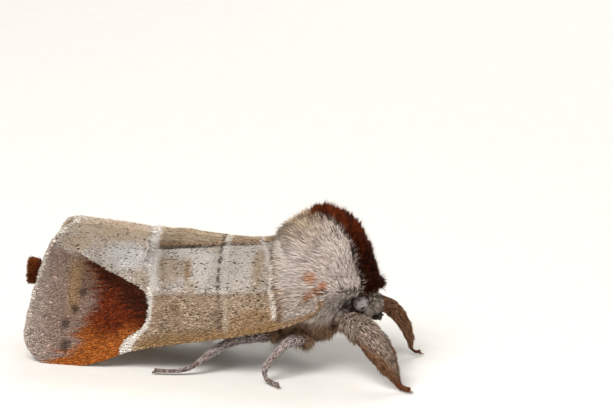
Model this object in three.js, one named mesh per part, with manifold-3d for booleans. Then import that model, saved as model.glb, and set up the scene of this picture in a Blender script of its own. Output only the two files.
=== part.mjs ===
// A chocolate-tip moth at rest, life size, in millimetres, as a still museum model.
// +X is where the head points, +Y is the moth's left, +Z is up, and the floor is z = 0.
// Every piece is drawn out to the tips of its hair or scales. Pieces stand a thin cut apart.
import * as THREE from 'three';
import { mergeVertices } from 'three/addons/utils/BufferGeometryUtils.js';
import Module from 'manifold-3d';

const wasm = await Module();
wasm.setup();

const REACH = 10.0; // front toes before the middle, and the tail brush's end behind it
const BACK_HEIGHT = 6.4; // ridge of the folded wings over the floor
const WING_THICKNESS = 0.5;
const WING_GAP = 0.1; // between a forewing and the hindwing tucked inside it
const CUT = 0.08; // the thin cut between pieces that touch
const RIDGE_GAP = 0.12; // between the left and right wings, along the back
const ROOF_POWER = 0.88; // below 1 the folded wings are boxier than a round barrel
const EYE_RADIUS = 0.53;
const TARSUS_RADIUS = 0.27;
const TARSUS_HEIGHT = 0.22; // centre of a foot that lies on the floor, so its underside is cut flat

const COLOURS = {
  wing: 0xbdb09f,
  fur: 0xb3a49c,
  crest: 0x5a2413,
  eye: 0x4a4846,
  leg: 0x9a8474,
  antenna: 0x8a6a52,
};

// ---- shape helpers ----

// A smooth function through (place, value) pairs.
function along(places, values) {
  const line = new THREE.CubicInterpolant(places, values, 1, [0]);
  return (x) => line.evaluate(x)[0];
}

// A closed geometry as a solid that faces outwards.
function solid(geometry) {
  const bare = geometry.clone();
  bare.deleteAttribute('normal');
  bare.deleteAttribute('uv');
  const merged = mergeVertices(bare, 1e-4);
  const build = (triVerts) => new wasm.Manifold(new wasm.Mesh({
    numProp: 3,
    vertProperties: merged.attributes.position.array,
    triVerts,
  }));
  const triangles = new Uint32Array(merged.index.array);
  const made = build(triangles);
  return made.volume() > 0 ? made : build(triangles.reverse());
}

// Moves each vertex of a geometry to the place that a rule gives it.
function reshape(geometry, rule) {
  const { position, uv } = geometry.attributes;
  for (let i = 0; i < position.count; i += 1) {
    const place = rule(new THREE.Vector3().fromBufferAttribute(position, i), uv.getX(i), uv.getY(i));
    position.setXYZ(i, place.x, place.y, place.z);
  }
  return geometry;
}

// A cushion-like body: its side view is a closed smooth outline, which shrinks to its centre
// as the body narrows to either side.
function cushion({ outline, centre, halfWidth, fullness = 1, grow = 0, around = 28, across = 14 }) {
  const rim = new THREE.CatmullRomCurve3(outline.map(([x, z]) => new THREE.Vector3(x, 0, z)), true);
  const middle = new THREE.Vector3(centre[0], 0, centre[1]);
  const ball = new THREE.SphereGeometry(1, around, across);
  return solid(reshape(ball, (old, u, v) => {
    const tilt = (v - 0.5) * Math.PI;
    const spoke = rim.getPoint(u % 1).sub(middle);
    spoke.setLength((spoke.length() + grow) * Math.cos(tilt) ** fullness);
    return spoke.add(middle).setY((halfWidth + grow) * Math.sin(tilt));
  }));
}

// A round tube along a smooth path. Its radius is one number, or changes along it.
function limb({ path, radius, sides, steps, grow = 0 }) {
  const line = new THREE.CatmullRomCurve3(path.map((p) => new THREE.Vector3(...p)));
  const { normals, binormals } = line.computeFrenetFrames(steps);
  const tube = new THREE.CylinderGeometry(1, 1, 1, sides, steps);
  return solid(reshape(tube, (old) => {
    const step = Math.round((old.y + 0.5) * steps);
    const share = step / steps;
    const width = (typeof radius === 'function' ? radius(share) : radius) + grow;
    return line.getPointAt(share)
      .addScaledVector(normals[step], old.x * width)
      .addScaledVector(binormals[step], old.z * width);
  }));
}

function mirrored(path, side) {
  return path.map(([x, y, z]) => [x, y * side, z]);
}

const floorSlab = solid(new THREE.BoxGeometry(40, 40, 4).translate(0, 0, -2));

// ---- wings, folded over the back like a roof ----

const costaHeight = along(
  [-10, -6.6, -5.5, -4.3, -2, 0, 3, 5, 6.2],
  [0, 0.02, 0.35, 0.88, 1.47, 1.88, 2.6, 3.42, 4.15],
);
const roofHalfWidth = along([-10, -8, -4, 0, 3, 5, 6.2], [3.2, 3.3, 3.22, 3.1, 2.92, 2.72, 2.5]);
const ridgeHeight = along([-10, -7.3, -4, -2, 0, 3, 6.2], [6.72, 6.64, BACK_HEIGHT, 6.46, 6.4, 6.44, 6.4]);
// The outer margin: how far back the wing reaches, from the ridge (0) round to the costa (1).
const outerMargin = along(
  [0, 0.2, 0.34, 0.55, 0.75, 0.88, 0.96, 1],
  [-7.5, -8.25, -8.62, -9.0, -9.36, -9.52, -9.28, -8.5],
);
const wingRoot = along([0, 0.5, 1], [3.2, 4.3, 5.3]);
const hindMargin = along([0, 0.4, 0.7, 0.9, 1], [-6.7, -7.9, -8.35, -8.1, -7.2]);
const hindRoot = along([0, 0.5, 1], [2.6, 3.4, 4.4]);

// A point of the folded wing: x along the moth, turn from the ridge (0) to the costa (1), and
// depth inwards from the outer face.
function roofPoint(x, turn, depth, side) {
  const angle = turn * Math.PI / 2;
  const low = costaHeight(x);
  const out = (roofHalfWidth(x) - depth) * Math.sin(angle) ** ROOF_POWER;
  const up = (ridgeHeight(x) - low - depth) * Math.max(Math.cos(angle), 0) ** ROOF_POWER;
  return new THREE.Vector3(x, side * (out + RIDGE_GAP / 2), low + up);
}

function wing({ side, margin, root, turns, depth, columns, rows }) {
  const sheet = new THREE.BoxGeometry(1, 1, 1, columns, rows, 1);
  return solid(reshape(sheet, (old) => {
    // Rows crowd together towards the costa, where the wing tip's corner is round.
    const share = 1 - (0.5 - old.y) ** 1.5;
    const turn = THREE.MathUtils.lerp(turns[0], turns[1], share);
    const x = THREE.MathUtils.lerp(root(turn), margin(turn), old.x + 0.5);
    return roofPoint(x, turn, old.z > 0 ? depth : depth + WING_THICKNESS, side);
  }));
}

const forewing = (side) => wing({
  side, margin: outerMargin, root: wingRoot, turns: [0, 1], depth: 0, columns: 16, rows: 11,
}).subtract(floorSlab);

const hindwing = (side) => wing({
  side,
  margin: hindMargin,
  root: hindRoot,
  turns: [0.1, 0.84],
  depth: WING_THICKNESS + WING_GAP,
  columns: 11,
  rows: 7,
});

// ---- trunk ----

const thoraxBody = (grow = 0) => cushion({
  outline: [
    [1.95, 5.3], [2.5, 6.8], [3.15, 7.6], [3.9, 8.2], [4.9, 8.48], [5.95, 8.22], [6.88, 7.45],
    [7.46, 6.35], [7.92, 5.35], [8.25, 4.5], [8.05, 4.02], [6.9, 3.7], [6.4, 2.4], [5.6, 1.45],
    [4.0, 1.28], [2.5, 1.6], [1.8, 3.2],
  ],
  centre: [4.6, 4.5],
  halfWidth: 2.75,
  fullness: 0.92,
  grow,
  across: 16,
});

// The crest is a band of long brown hair over the middle of the thorax, down to the head.
const CREST_HALF_WIDTH = 1.15;
const crestInner = [[4.0, 7.6], [4.9, 7.8], [5.75, 7.4], [6.35, 6.4], [6.8, 5.2], [7.0, 3.9]];
function crestBand(grow = 0) {
  const outline = new THREE.Shape();
  outline.moveTo(9.5, 3.9 - grow);
  outline.lineTo(9.5, 10);
  outline.lineTo(4.0 - grow, 10);
  outline.splineThru(crestInner.map(([x, z]) => new THREE.Vector2(x - grow, z - grow)));
  outline.closePath();
  const halfWidth = CREST_HALF_WIDTH + grow;
  const band = new THREE.ExtrudeGeometry(outline, {
    depth: 2 * halfWidth, bevelEnabled: false, curveSegments: 4,
  });
  return solid(band.rotateX(Math.PI / 2).translate(0, halfWidth, 0));
}

const headBody = (grow = 0) => cushion({
  outline: [
    [6.3, 3.9], [6.9, 4.2], [7.45, 4.22], [7.85, 4.02], [8.06, 3.65], [8.0, 3.25], [7.7, 2.95],
    [7.2, 2.78], [6.6, 2.95],
  ],
  centre: [7.2, 3.5],
  halfWidth: 1.15,
  grow,
  around: 20,
  across: 10,
});

const eyeCentre = (side) => new THREE.Vector3(6.98, side * 0.88, 3.6);
function eye(side, grow = 0) {
  const ball = new THREE.SphereGeometry(EYE_RADIUS + grow, 12, 8);
  return solid(ball.scale(0.92, 0.85, 1.1).translate(...eyeCentre(side).toArray()));
}

const abdomenAxis = [[2.6, 0, 3.35], [0, 0, 3.3], [-3, 0, 3.3], [-6, 0, 3.45], [-8.6, 0, 3.8]];
const abdomenWidth = along([0, 0.1, 0.3, 0.6, 0.85, 1], [1.2, 1.5, 1.62, 1.45, 1.05, 0.8]);
const abdomen = () => limb({ path: abdomenAxis, radius: abdomenWidth, sides: 14, steps: 12 });

// The brush of hair at the tail's end is upright and cut off square.
const brushWidth = along([0, 0.35, 0.8, 1], [0.55, 0.7, 0.84, 0.84]);
const tailBrush = () => limb({
  path: [[-8.6 - CUT, 0, 3.8], [-9.3, 0, 3.8], [-REACH, 0, 3.79]],
  radius: brushWidth,
  sides: 12,
  steps: 5,
});

const palp = (side, grow = 0) => limb({
  path: mirrored([[7.35, 0.3, 2.95], [7.7, 0.35, 2.9], [8.02, 0.33, 3.02]], side),
  radius: along([0, 0.6, 1], [0.26, 0.28, 0.25]),
  sides: 8,
  steps: 5,
  grow,
});

const antennaPath = [
  [7.45, 0.6, 4.2], [6.95, 1.15, 4.42], [6.2, 1.72, 4.25], [5.4, 1.92, 3.9], [4.2, 1.95, 3.42],
  [2.8, 1.98, 2.95], [1.5, 2.02, 2.55],
];
const antenna = (side, grow = 0) => limb({
  path: mirrored(antennaPath, side), radius: 0.25, sides: 7, steps: 15, grow,
});

// ---- legs: each reaches the floor, where its foot lies flat ----

const LEGS = {
  fore: {
    path: [
      [6.3, 1.35, 3.0], [6.9, 1.75, 2.78], [7.82, 2.32, 2.02], [8.66, 2.8, 1.1], [9.12, 3.0, 0.52],
      [9.45, 3.12, TARSUS_HEIGHT], [REACH - 0.07, 3.35, TARSUS_HEIGHT],
    ],
    radius: along([0, 0.18, 0.42, 0.66, 0.8, 0.9, 1], [0.5, 0.68, 0.76, 0.56, 0.34, TARSUS_RADIUS, 0.25]),
    sides: 10,
    steps: 15,
  },
  // The left foreleg is stretched further out, with its hair laid closer to it.
  foreStretched: {
    path: [
      [6.2, 1.2, 3.2], [7.2, 1.75, 3.2], [8.2, 2.25, 2.75], [8.9, 2.6, 1.9], [9.25, 2.85, 0.95],
      [9.35, 3.03, 0.36], [9.55, 3.18, TARSUS_HEIGHT], [REACH - 0.13, 3.4, TARSUS_HEIGHT],
    ],
    radius: along([0, 0.2, 0.45, 0.66, 0.85, 1], [0.42, 0.5, 0.52, 0.42, TARSUS_RADIUS, 0.25]),
    sides: 10,
    steps: 15,
  },
  mid: {
    path: [
      [4.7, 0.8, 1.9], [4.3, 1.7, 1.9], [3.75, 2.35, 1.9], [3.15, 2.9, 1.4], [2.65, 3.3, 0.66],
      [2.75, 3.6, 0.28], [3.1, 3.95, TARSUS_HEIGHT], [3.5, 4.35, TARSUS_HEIGHT],
    ],
    radius: along([0, 0.3, 0.5, 0.7, 1], [0.42, 0.38, 0.29, TARSUS_RADIUS, 0.25]),
    sides: 8,
    steps: 16,
  },
  hind: {
    path: [
      [3.4, 0.7, 1.9], [2.3, 1.3, 1.82], [1.2, 1.9, 1.72], [0.3, 2.45, 1.36], [-0.6, 3.0, 0.74],
      [-1.1, 3.25, 0.36], [-1.7, 3.42, TARSUS_HEIGHT], [-2.9, 3.66, TARSUS_HEIGHT],
    ],
    radius: along([0, 0.25, 0.5, 0.7, 1], [0.5, 0.46, 0.34, TARSUS_RADIUS, 0.25]),
    sides: 8,
    steps: 16,
  },
};

const leg = (kind, side, grow = 0) => {
  const { path, ...shape } = LEGS[kind === 'fore' && side > 0 ? 'foreStretched' : kind];
  return limb({ path: mirrored(path, side), ...shape, grow });
};

// ---- the whole moth, parted with thin cuts ----

const SIDES = [['right', -1], ['left', 1]];
const moth = new THREE.Group();

function add(name, body, colour, roughness = 0.85) {
  const mesh = body.getMesh();
  const geometry = new THREE.BufferGeometry();
  geometry.setAttribute('position', new THREE.BufferAttribute(mesh.vertProperties, mesh.numProp));
  geometry.setIndex(new THREE.BufferAttribute(mesh.triVerts, 1));
  geometry.computeVertexNormals();
  const material = new THREE.MeshStandardMaterial({ color: colour, roughness, metalness: 0 });
  const piece = new THREE.Mesh(geometry, material);
  piece.name = name;
  moth.add(piece);
}

// Takes the neighbours out of a body and keeps its largest piece.
function without(body, ...neighbours) {
  const rest = neighbours.reduce((left, other) => left.subtract(other), body);
  return rest.decompose().sort((a, b) => b.volume() - a.volume())[0];
}

const bothSides = (make) => SIDES.map(([, side]) => make(side));
const eyesCut = bothSides((side) => eye(side, CUT));
const antennaeCut = bothSides((side) => antenna(side, CUT));
const palpsCut = bothSides((side) => palp(side, CUT));
const thoraxCut = thoraxBody(CUT);
const headCut = headBody(CUT);

const trunk = without(thoraxBody(), headCut, ...eyesCut, ...antennaeCut);
add('thorax', without(trunk, crestBand(CUT)), COLOURS.fur);
add('crest', without(trunk.intersect(crestBand())), COLOURS.crest, 0.95);
add('head', without(headBody(), ...eyesCut, ...antennaeCut, ...palpsCut), COLOURS.fur);
add('abdomen', without(abdomen(), thoraxCut), COLOURS.leg);
add('tail_brush', tailBrush(), COLOURS.crest, 0.95);

for (const [name, side] of SIDES) {
  add(`eye_${name}`, without(eye(side), antenna(side, CUT)), COLOURS.eye, 0.3);
  add(`palp_${name}`, palp(side), COLOURS.fur);
  add(`antenna_${name}`, antenna(side), COLOURS.antenna);
  add(`forewing_${name}`, without(forewing(side), thoraxCut, antenna(side, CUT)), COLOURS.wing);
  add(`hindwing_${name}`, without(hindwing(side), thoraxCut), COLOURS.leg);
  for (const kind of ['fore', 'mid', 'hind']) {
    const trimmed = without(leg(kind, side), thoraxCut, headCut, ...eyesCut, floorSlab);
    add(`leg_${kind}_${name}`, trimmed, COLOURS.leg);
  }
}

export default moth;
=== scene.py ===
"""A chocolate-tip moth at rest, life size: a skin, a coat of hair and scales, wings, eyes and feelers."""
import math
from functools import partial, reduce

import bpy
import numpy as np
from mathutils import Matrix, Vector
from mathutils.bvhtree import BVHTree
from mathutils.kdtree import KDTree


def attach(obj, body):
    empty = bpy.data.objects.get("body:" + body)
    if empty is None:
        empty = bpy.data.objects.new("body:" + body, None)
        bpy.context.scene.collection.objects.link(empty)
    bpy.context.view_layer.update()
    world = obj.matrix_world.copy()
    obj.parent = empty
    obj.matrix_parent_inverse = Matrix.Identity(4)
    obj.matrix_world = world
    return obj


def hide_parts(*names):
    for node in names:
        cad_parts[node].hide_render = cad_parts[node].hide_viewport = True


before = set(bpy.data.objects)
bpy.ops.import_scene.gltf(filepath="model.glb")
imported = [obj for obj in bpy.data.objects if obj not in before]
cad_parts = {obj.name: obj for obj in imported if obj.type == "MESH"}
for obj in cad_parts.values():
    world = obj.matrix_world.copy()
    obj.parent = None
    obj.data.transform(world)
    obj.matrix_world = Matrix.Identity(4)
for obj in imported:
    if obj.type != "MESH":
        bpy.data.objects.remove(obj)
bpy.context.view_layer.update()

MM = 0.001  # shapes are worked out in millimetres and stored in metres
SIDES = {"right": -1, "left": 1}
EYE_CENTRE = (7.0, 0, 3.74)  # mm, seen from the side
FACE_FRONT = 7.2  # mm, where the head's front begins
rng = np.random.default_rng(1758)


# ---- small tools ----

def hex_colour(code):
    """An sRGB hex colour as the linear one that a shader takes."""
    parts = [int(code[i:i + 2], 16) / 255 for i in (0, 2, 4)]
    linear = [p / 12.92 if p <= 0.04045 else ((p + 0.055) / 1.055) ** 2.4 for p in parts]
    return (*linear, 1.0)


def math_kinds(prefix, node, *names):
    """Kinds that are one operation each of a calculating node."""
    return {prefix + name: (node, (0, 1, 2), {"operation": name.upper()}, 0) for name in names}


# Kinds of node by short name: Blender's name, the sockets that values go to, settings and the result.
KINDS = {
    "place": ("ShaderNodeTexCoord", (), {}, "Object"),
    "note": ("ShaderNodeAttribute", (), {}, "Vector"),
    "parts": ("ShaderNodeSeparateXYZ", (0,), {}, None),
    "markings": ("ShaderNodeGroup", ("Place", "Kind", "Tuft"), {}, 0),
    "curve": ("ShaderNodeFloatCurve", ("Value",), {}, 0),
    "ramp": ("ShaderNodeMapRange", (0, 1, 2), {"interpolation_type": "SMOOTHSTEP"}, 0),
    "mix": ("ShaderNodeMix", (0, 6, 7), {"data_type": "RGBA"}, 2),
    "tint": ("ShaderNodeMix", (0, 6, 7), {"data_type": "RGBA", "blend_type": "MULTIPLY"}, 2),
    "noise": ("ShaderNodeTexNoise", ("Vector", "Scale", "Detail"), {}, 0),
    "noise_colour": ("ShaderNodeTexNoise", ("Vector", "Scale", "Detail"), {}, "Color"),
    "cells": ("ShaderNodeTexVoronoi", ("Vector", "Scale"), {}, "Distance"),
    "bump": ("ShaderNodeBump", ("Height", "Strength", "Distance"), {}, 0),
    "length": ("ShaderNodeVectorMath", (0,), {"operation": "LENGTH"}, "Value"),
    **math_kinds("", "ShaderNodeMath", "add", "subtract", "multiply", "multiply_add", "absolute", "sine",
                 "maximum", "less_than", "greater_than"),
    **math_kinds("vector_", "ShaderNodeVectorMath", "add", "subtract", "multiply"),
}


def add_node(tree, kind, *values, **more):
    """Adds a node, applies its settings, fills or links its sockets and gives its result.

    A text value is a hex colour.
    """
    node, sockets, settings, result = KINDS[kind]
    made = tree.nodes.new(node)
    for name, value in {**settings, **more}.items():
        setattr(made, name, value)
    for socket, value in zip(sockets, values):
        if isinstance(value, bpy.types.NodeSocket):
            tree.links.new(value, made.inputs[socket])
        else:
            made.inputs[socket].default_value = hex_colour(value) if isinstance(value, str) else value
    return made.outputs if result is None else made.outputs[result]


def product(add, *parts):
    """Multiplies numbers, results and (value, from, to) ramps from 0 to 1."""
    shares = [add("ramp", *part) if isinstance(part, tuple) else part for part in parts]
    return reduce(partial(add, "multiply"), shares)


def layered(add, shade, colour, *layers):
    """Lays colours over a first one, each as strongly as the product of its shares.

    A layer is its shares and then its colour, a result or a (dark, light) pair that goes by shade.
    """
    for *parts, over in layers:
        if isinstance(over, tuple):
            over = add("mix", shade, *over)
        colour = add("mix", product(add, *parts), colour, over)
    return colour


def new_material(name, **looks):
    """A material with its shader's sockets filled: the material, a function that adds nodes to it
    and a function that links a node's result to a socket of the shader."""
    made = bpy.data.materials.new(name)
    made.use_nodes = True
    shader = made.node_tree.nodes["Principled BSDF"]
    for socket, value in looks.items():
        shader.inputs[socket].default_value = value
    link = lambda value, socket: made.node_tree.links.new(value, shader.inputs[socket])
    return made, partial(add_node, made.node_tree), link


def smooth_step(low, high, x):
    """0 below low, 1 above high, and a smooth ramp between."""
    share = np.clip((x - low) / (high - low), 0, 1)
    return share * share * (3 - 2 * share)


def bell(gap, width):
    """1 where the gap is 0, falling to 0 on both sides."""
    return np.exp(-(gap / width) ** 2)


def unit(vectors):
    return vectors / np.maximum(np.linalg.norm(vectors, axis=-1, keepdims=True), 1e-12)


def along(places, values):
    """A smooth function through (place, value) pairs that levels off beyond both ends."""
    t, v = np.array(places, float), np.array(values, float)

    def line(x):
        x = np.clip(x, t[0], t[-1])
        after = np.clip(np.searchsorted(t, x, side="right"), 1, len(t) - 1)
        before = after - 1
        first, last = before == 0, after == len(t) - 1
        earlier = np.where(first, after, before - 1)
        later = np.where(last, before, np.minimum(after + 1, len(t) - 1))
        half = (t[after] - t[before]) / 2
        pull_back = half / (t[before] - t[earlier])
        pull_on = half / (t[later] - t[after])
        p = (x - t[before]) / (t[after] - t[before])
        return (
            v[earlier] * pull_back * (-p ** 3 + 2 * p ** 2 - p)
            + v[before] * ((1 + pull_back) * p ** 3 - (1.5 + 2 * pull_back) * p ** 2
                           + (pull_back - 0.5) * p + 1)
            + v[after] * (-(1 + pull_on) * p ** 3 + (1.5 + pull_on) * p ** 2 + 0.5 * p)
            + v[later] * pull_on * (p ** 3 - p ** 2)
        )

    return line


def activate(piece):
    bpy.ops.object.select_all(action="DESELECT")
    piece.select_set(True)
    bpy.context.view_layer.objects.active = piece


def new_piece(name, mesh):
    piece = bpy.data.objects.new(name, mesh)
    bpy.context.scene.collection.objects.link(piece)
    return piece


def joined(pieces):
    activate(pieces[0])
    for piece in pieces:
        piece.select_set(True)
    if len(pieces) > 1:
        bpy.ops.object.join()
    return bpy.context.object


def edit(piece, *jobs):
    """Does some jobs on the whole of a piece's mesh in edit mode."""
    activate(piece)
    bpy.ops.object.mode_set(mode="EDIT")
    bpy.ops.mesh.select_all(action="SELECT")
    for job in jobs:
        job()
    bpy.ops.object.mode_set(mode="OBJECT")


def points_of(mesh):
    """The mesh's vertices in millimetres."""
    spots = np.zeros(len(mesh.vertices) * 3, np.float32)
    mesh.vertices.foreach_get("co", spots)
    return spots.reshape(-1, 3).astype(float) / MM


def set_points(mesh, spots):
    mesh.vertices.foreach_set("co", (spots * MM).astype(np.float32).ravel())
    mesh.update()


def note(mesh, name, values):
    """Stores three numbers for each vertex, for the materials to read."""
    layer = mesh.attributes.new(name, "FLOAT_VECTOR", "POINT")
    layer.data.foreach_set("vector", np.asarray(values, np.float32).ravel())


def finish_piece(piece, replaced=(), material=None):
    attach(piece, "root")
    if replaced:
        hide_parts(*replaced)
    if material:
        piece.data.materials.clear()
        piece.data.materials.append(material)


def run_modifier(piece, kind, **settings):
    """Adds a modifier to a piece and applies it."""
    activate(piece)
    bpy.ops.object.modifier_add(type=kind)
    modifier = piece.modifiers[-1]
    for name, value in settings.items():
        setattr(modifier, name, value)
    bpy.ops.object.modifier_apply(modifier=modifier.name)


# ---- camera, lights and floor ----

AZIMUTH, ELEVATION, ROLL = (math.radians(angle) for angle in (6, 15, 3))
DISTANCE = 220.0
VIEW_WIDTH = 30.6  # how much the view takes in at the moth, in mm
SENSOR = 36.0
AIM = (0, 0, 4.0)  # mm, where the lights point
VIEW_SHIFT = (4.1, 3.9)  # mm, from there to the view's middle, across and up
ROOM_LIGHT = 0.36
FLOOR_WIDTH = 3.0  # m


def stage_set():
    level = np.array([math.cos(AZIMUTH), math.sin(AZIMUTH), 0])
    ahead = np.array([
        -math.sin(AZIMUTH) * math.cos(ELEVATION),
        math.cos(AZIMUTH) * math.cos(ELEVATION),
        -math.sin(ELEVATION),
    ])
    up = np.cross(level, ahead)
    across = level * math.cos(ROLL) + up * math.sin(ROLL)
    upright = up * math.cos(ROLL) - level * math.sin(ROLL)
    middle = np.array(AIM) + VIEW_SHIFT[0] * across + VIEW_SHIFT[1] * upright
    turn = Matrix([across, upright, -ahead]).transposed()
    bpy.ops.object.camera_add(
        location=(middle - ahead * DISTANCE) * MM, rotation=turn.to_euler(),
    )
    camera = bpy.context.object
    camera.data.sensor_width = SENSOR
    camera.data.lens = SENSOR * DISTANCE / VIEW_WIDTH
    camera.data.clip_start, camera.data.clip_end = 0.005, 5
    bpy.context.scene.camera = camera

    for place, size, power in LIGHTS:
        bpy.ops.object.light_add(type="AREA", location=np.array(place) * MM)
        light = bpy.context.object
        light.data.size = size * MM
        light.data.energy = power
        beam = Vector(AIM) * MM - light.location
        light.rotation_euler = beam.to_track_quat("-Z", "Y").to_euler()

    world = bpy.data.worlds.new("studio")
    bpy.context.scene.world = world
    world.use_nodes = True
    background = world.node_tree.nodes["Background"].inputs
    background["Color"].default_value = hex_colour("F2F0EC")
    background["Strength"].default_value = ROOM_LIGHT

    bpy.ops.mesh.primitive_plane_add(size=FLOOR_WIDTH, location=(0, 0, 0))
    floor = bpy.context.object
    floor.name = "floor"
    # Studio board: fine paper grain, hardly seen.
    board, add, link = new_material("matt_studio_board", Roughness=0.9)
    link(add("mix", add("noise", add("place"), 900.0), "CFCBC4", "D6D2CC"), "Base Color")
    floor.data.materials.append(board)


# place in mm, size in mm, power in watts
LIGHTS = [
    ((-50, -118, 150), 110, 0.60),
    ((110, -130, 50), 120, 0.10),
    ((30, 140, 120), 120, 0.20),
]


# ---- markings: one group of nodes for the body, one for the forewings ----

def marking_group(name):
    """A node group that turns a tuft's notes into its colour: the group, its notes and its result."""
    tree = bpy.data.node_groups.new(name, "ShaderNodeTree")
    for socket in ("Place", "Kind", "Tuft"):
        tree.interface.new_socket(socket, in_out="INPUT", socket_type="NodeSocketVector")
    tree.interface.new_socket("Color", in_out="OUTPUT", socket_type="NodeSocketColor")
    given, result = tree.nodes.new("NodeGroupInput"), tree.nodes.new("NodeGroupOutput")
    return tree, [given.outputs[i] for i in range(3)], result.inputs[0]


# Rusty tufts at the wings' bases: mm along the moth, height and reach.
RUST_PLACES = [(4.95, 5.1, 0.3), (4.75, 4.3, 0.24), (5.15, 4.5, 0.28), (5.5, 4.7, 0.26)]


def body_markings():
    """Place in mm, kind (crest, leg, belly) and tuft (shade, along) make the hair's colour."""
    tree, (spot, kinds, tuft), result = marking_group("body_markings")
    add = partial(add_node, tree)
    x, y, z = add("parts", spot)
    in_crest, on_leg, on_belly = add("parts", kinds)
    shade, tipward, _ = add("parts", tuft)
    times, layers = partial(product, add), partial(layered, add, shade)

    def gap_to(place):
        """How far a tuft stands from a place, seen from the side."""
        return add("length", add("vector_multiply", add("vector_subtract", spot, place), (1, 0, 1)))

    # The face: grey-brown scales with pale tips, and a paler brow.
    face = layers(
        add("mix", shade, "43372F", "DCCDBC"),
        ((z, 3.72, 3.82), (x, 7.15, 7.22), (x, 7.5, 7.4), 0.8, ("A48C70", "FFF0DA")),
    )
    # Pale hair: pinkish grey in patches and creamier towards the back of the top, where painted shade
    # darkens it, most on its darker hairs.
    pale = layers(
        add("mix", shade, "74655D", "E0D2C8"),
        ((add("noise", spot, 1.1, 3.0), 0.45, 0.75), 0.5, "A8958A"),
        ((z, 6.0, 7.6), (x, 5.8, 3.8), 0.75, add("mix", add("ramp", shade, 0.3, 0.7), "483420", "D6BE96")),
        # Painted shade: the top is darkened, most on its darker hairs, as if in shade between its strands.
        ((z, 6.2, 7.6), (shade, 0.75, 0.4), 0.7, "6A5644"),
        # Neck, low side, rusty tufts and underside.
        ((x, 5.2, 6.5), (z, 6.6, 4.8), 0.35, "6E6058"),
        ((z, 5.0, 4.2), (z, 2.9, 3.4), 0.45, ("9C8A80", "FFF4EA")),
        *[((gap_to((at, 0, height)), reach, reach * 0.4), 0.85, ("7E4522", "C4885A"))
          for at, height, reach in RUST_PLACES],
        ((z, 3.5, 2.7), 0.85, ("50361F", "A27C58")),
        # The face; the chin, painted nearly black as painted shadow under the head; and the skin round the
        # eyes, painted dark as painted shade in the eye sockets.
        ((x, 6.5, 6.9), (z, 4.5, 4.2), face),
        # Painted shadow under the head.
        ((x, 6.6, 7.0), (z, 3.2, 3.0), 0.9, "2A211C"),
        # Painted shade in the eye sockets.
        ((gap_to(EYE_CENTRE), 0.45, 0.38), 0.85, "4E423A"),
    )
    at_tail = add("ramp", x, -8.0, -8.5)
    off_middle = add("absolute", add("subtract", z, 3.8))
    chestnut = layers(
        # The crest: chestnut at the tips and nearly black in its lower front.
        add("mix", shade, "0E0301", "581F05"),
        ((tipward, 0.5, 1.0), shade, 0.5, "7A360A"),
        ((z, 7.4, 5.6), (x, 4.0, 5.6), 0.66, "1C0903"),
        # The brush at the tail's end is dark in the middle and orange-brown at its rim and tips.
        (at_tail, (off_middle, 0.5, 0.2), 0.5, "1E0B05"),
        (at_tail, (off_middle, 0.3, 0.5), shade, 0.7, "8E5026"),
        (at_tail, (tipward, 0.7, 1.0), 0.6, "8E4C20"),
    )
    below = add("ramp", add("add", times(x, 0.67), times(z, 0.74)), 7.35, 6.6)
    inside = add("ramp", add("multiply_add", x, -0.6, add("absolute", y)), -2.35, -2.65)
    at_hip = add("multiply_add", y, -0.6, z)
    leg = layers(
        # Legs: grey above and outside, rusty below and inside.
        add("mix", add("ramp", shade, 0.1, 0.9), "52443A", "C4AF9E"),
        ((x, 6.2, 5.6), ("7E6E6A", "D6C6C0")),
        (add("maximum", below, inside), (x, 6.2, 6.9), (at_hip, 4.1, 3.6), 0.9, ("48301E", "A0704C")),
        # Red-brown forefeet, and rings on the other feet.
        ((z, 0.75, 0.4), (x, 6.0, 6.8), "74462C"),
        ((add("sine", times(x, 13.0)), 0.2, 0.7), (z, 1.1, 0.7), (x, 6.0, 5.0), 0.6, "5F4636"),
    )
    # The belly is brown grey.
    colour = layers(pale, (on_belly, ("463528", "8E755E")), (on_leg, leg), (in_crest, chestnut))
    # Roots are painted darker, a painted shade deep in the coat.
    colour = add("tint", times((tipward, 0.65, -0.1), 0.8), colour, "5C4A40")
    tree.links.new(colour, result)
    return tree


WING_SPAN = 20.0  # the wing's place runs from -10 to 10 mm, stored as 0 to 1
TURN_LENGTH = 7.5  # mm round the folded wing from its ridge to its costa
OCHRE_BAND = -7.08  # mm along the moth
FINE_LINE = 0.06  # mm, half the width below which a line is broken
# Small marks: mm along the moth, turn and reach in mm.
RUST_TUFTS = [(4.65, 0.61, 0.3), (4.5, 0.8, 0.26), (4.9, 0.77, 0.28), (5.2, 0.75, 0.26)]
MARGIN_SPOTS = [(-6.68, 0.65, 0.26), (-7.0, 0.74, 0.28), (-7.4, 0.815, 0.34), (-7.4, 0.925, 0.36)]

# Lines across the forewing, as (turn from ridge to costa, mm along the moth) pairs.
MIDDLE_LINE = [(0, 0.2), (0.35, 0.25), (0.667, 0.35), (0.8, 0.48), (1, 0.65)]
MIDDLE_SHADOW = [(0, -0.07), (0.35, -0.01), (0.667, 0.07), (0.8, 0.22), (1, 0.37)]
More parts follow.
